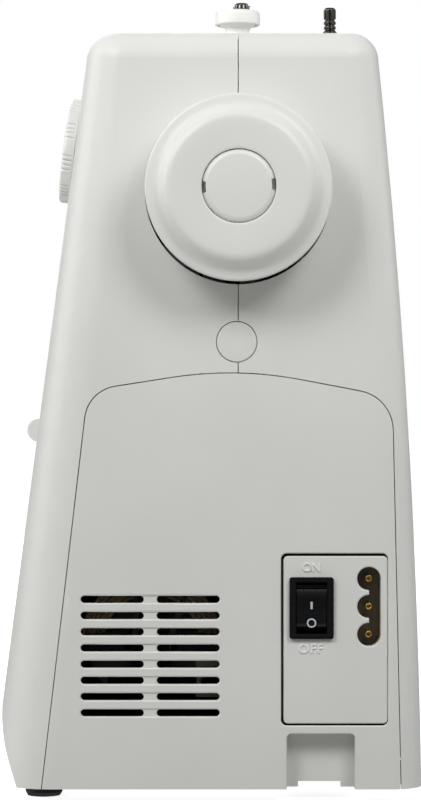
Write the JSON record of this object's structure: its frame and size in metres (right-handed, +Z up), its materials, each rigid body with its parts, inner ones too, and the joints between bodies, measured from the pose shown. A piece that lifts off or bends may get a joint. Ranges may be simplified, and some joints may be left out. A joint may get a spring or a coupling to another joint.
{
  "type": "sewing machine",
  "caption": "Free-arm household sewing machine with handwheel, pattern dials, hinged face cover, presser foot, hook drive and slide-off extension table.",
  "frame": {"origin": "on the surface the machine stands on, below the middle of its overall box", "axes": "+X to the handwheel end, +Y to the rear, +Z up"},
  "size_m": [0.4, 0.1688, 0.3258],
  "materials": {
    "housing": "satin, lightly grained",
    "base": "moulded, matte",
    "black_plastic": "semi-gloss",
    "socket": "matte",
    "brass": "bright",
    "rubber": "matte",
    "casting": "as cast",
    "steel": "ground",
    "chrome": "polished",
    "bronze": "sintered",
    "nylon": "moulded",
    "clear": "clear, smooth"
  },
  "bodies": {
    "frame": {"base_plate": "base", "rubber_feet": "rubber", "cover_screws": "steel", "arm_frame": "casting", "bed_frame": "casting", "front_cover": "housing", "rear_cover": "housing", "side_cover": "housing", "terminal_plate": "housing", "power_inlet": "socket", "inlet_pins": "brass", "switch_body": "black_plastic", "screw_cap": "housing", "bed_cover": "housing", "needle_plate": "chrome", "motor": "steel", "bushes": "bronze", "bobbin_case": "steel", "lamp_holder": "black_plastic", "lamp_bulb": "clear", "drive_belt": "rubber", "timing_belt": "rubber", "thread_guides": "chrome", "winder_stopper": "housing", "presser_spring": "steel", "handle_lugs": "housing"},
    "main_drive": {"handwheel": "housing", "drive_pulley": "nylon", "main_shaft": "steel", "crank_disc": "steel", "upper_timing_pulley": "nylon"},
    "clutch": {"clutch_knob": "housing"},
    "motor_rotor": {"motor_pulley": "nylon"},
    "lower_drive": {"lower_shaft": "steel", "lower_timing_pulley": "nylon"},
    "rod": {"connecting_rod": "steel"},
    "needle_unit": {"needle_bar": "steel", "needle_clamp": "steel", "needle": "chrome"},
    "presser_unit": {"presser_bar": "steel", "presser_foot_holder": "steel"},
    "foot": {"presser_foot": "chrome"},
    "lifter": {"presser_lever": "steel"},
    "take_up": {"take_up_lever": "chrome"},
    "hook": {"rotary_hook": "steel"},
    "bobbin": {"bobbin": "nylon"},
    "feed": {"feed_dog": "steel"},
    "pattern": {"pattern_dial": "housing"},
    "length": {"length_dial": "housing"},
    "tension": {"tension_dial": "housing"},
    "reverse": {"reverse_lever": "housing"},
    "rocker": {"switch_rocker": "black_plastic"},
    "face": {"face_cover": "housing"},
    "hook_lid": {"bobbin_cover": "clear"},
    "table": {"extension_table": "housing"},
    "tray_lid": {"accessory_lid": "housing"},
    "handle": {"carry_handle": "housing"},
    "winder_arm": {"winder_lever": "steel"},
    "winder": {"winder_spindle": "chrome"},
    "spool": {"spool_pin": "chrome"}
  },
  "joints": [
    {"name": "handwheel_turn", "type": "hinge", "parent": "frame", "child": "main_drive", "pos_m": [0.18, 0.011, 0.243], "axis": [1, 0, 0], "continuous": true},
    {"name": "clutch_turn", "type": "hinge", "parent": "main_drive", "child": "clutch", "pos_m": [0.196, 0.011, 0.243], "axis": [1, 0, 0], "range_deg": [0, 60]},
    {"name": "motor_spin", "type": "hinge", "parent": "frame", "child": "motor_rotor", "pos_m": [0.15, -0.024, 0.061], "axis": [1, 0, 0], "continuous": true},
    {"name": "lower_shaft_spin", "type": "hinge", "parent": "frame", "child": "lower_drive", "pos_m": [0, 0.011, 0.051], "axis": [1, 0, 0], "continuous": true},
    {"name": "rod_swing", "type": "hinge", "parent": "main_drive", "child": "rod", "pos_m": [-0.112, 0.011, 0.258], "axis": [1, 0, 0], "continuous": true},
    {"name": "needle_stroke", "type": "slide", "parent": "frame", "child": "needle_unit", "axis": [0, 0, -1], "range_m": [0, 0.03]},
    {"name": "presser_lift", "type": "slide", "parent": "frame", "child": "presser_unit", "axis": [0, 0, 1], "range_m": [0, 0.006]},
    {"name": "foot_tilt", "type": "hinge", "parent": "presser_unit", "child": "foot", "pos_m": [-0.124, 0.029, 0.0885], "axis": [-1, 0, 0], "range_deg": [0, 6]},
    {"name": "presser_lever_swing", "type": "hinge", "parent": "frame", "child": "lifter", "pos_m": [-0.124, 0.05, 0.178], "axis": [1, 0, 0], "range_deg": [0, 74]},
    {"name": "take_up_swing", "type": "hinge", "parent": "frame", "child": "take_up", "pos_m": [-0.1385, 0.008, 0.248], "axis": [1, 0, 0], "range_deg": [-20, 22]},
    {"name": "hook_spin", "type": "hinge", "parent": "frame", "child": "hook", "pos_m": [-0.124, -0.008, 0.063], "axis": [0, 0, 1], "continuous": true},
    {"name": "bobbin_spin", "type": "hinge", "parent": "frame", "child": "bobbin", "pos_m": [-0.124, -0.008, 0.073], "axis": [0, 0, 1], "continuous": true},
    {"name": "feed_drop", "type": "slide", "parent": "frame", "child": "feed", "axis": [0, 0, -1], "range_m": [0, 0.0025]},
    {"name": "pattern_dial_turn", "type": "hinge", "parent": "frame", "child": "pattern", "pos_m": [0.128, -0.05446, 0.2623], "axis": [0, -0.9913, 0.1317], "continuous": true},
    {"name": "length_dial_turn", "type": "hinge", "parent": "frame", "child": "length", "pos_m": [0.08, -0.05446, 0.2623], "axis": [0, -0.9913, 0.1317], "range_deg": [-135, 135]},
    {"name": "tension_dial_turn", "type": "hinge", "parent": "frame", "child": "tension", "pos_m": [-0.108, -0.05, 0.265], "axis": [0, -1, 0], "range_deg": [-150, 150]},
    {"name": "reverse_press", "type": "hinge", "parent": "frame", "child": "reverse", "pos_m": [0.112, -0.04, 0.153], "axis": [1, 0, 0], "range_deg": [0, 18], "stiffness_Nm_per_rad": 0.3, "springref_deg": -17.19},
    {"name": "power_rocker", "type": "hinge", "parent": "frame", "child": "rocker", "pos_m": [0.1685, 0.0401, 0.07745], "axis": [0, -1, 0], "range_deg": [0, 14]},
    {"name": "face_cover_open", "type": "hinge", "parent": "frame", "child": "face", "pos_m": [-0.15, 0.062, 0.228], "axis": [0, 0, -1], "range_deg": [0, 90]},
    {"name": "bobbin_cover_open", "type": "hinge", "parent": "frame", "child": "hook_lid", "pos_m": [-0.124, -0.028, 0.081], "axis": [1, 0, 0], "range_deg": [0, 100]},
    {"name": "table_slide", "type": "slide", "parent": "frame", "child": "table", "axis": [-1, 0, 0], "range_m": [0, 0.19]},
    {"name": "accessory_lid_open", "type": "hinge", "parent": "table", "child": "tray_lid", "pos_m": [-0.104, -0.07885, 0.0204], "axis": [1, 0, 0], "range_deg": [0, 80]},
    {"name": "carry_handle_fold", "type": "hinge", "parent": "frame", "child": "handle", "pos_m": [-0.035, 0.069, 0.285], "axis": [1, 0, 0], "range_deg": [0, 170]},
    {"name": "winder_swing", "type": "hinge", "parent": "frame", "child": "winder_arm", "pos_m": [0.113, 0.04, 0.297], "axis": [0, 0, 1], "range_deg": [0, 8]},
    {"name": "winder_spin", "type": "hinge", "parent": "winder_arm", "child": "winder", "pos_m": [0.113, 0.013, 0.303], "axis": [0, 0, 1], "continuous": true},
    {"name": "spool_pin_raise", "type": "slide", "parent": "frame", "child": "spool", "axis": [0, 0, 1], "range_m": [0, 0.04]}
  ],
  "couplings": [
    {"joint": "motor_spin", "follows": "handwheel_turn", "ratio": 4.5385},
    {"joint": "lower_shaft_spin", "follows": "handwheel_turn", "ratio": 1},
    {"joint": "rod_swing", "follows": "handwheel_turn", "ratio": -1},
    {"joint": "hook_spin", "follows": "handwheel_turn", "ratio": 2},
    {"joint": "presser_lever_swing", "follows": "presser_lift", "rad_per_m": 203.62}
  ]
}
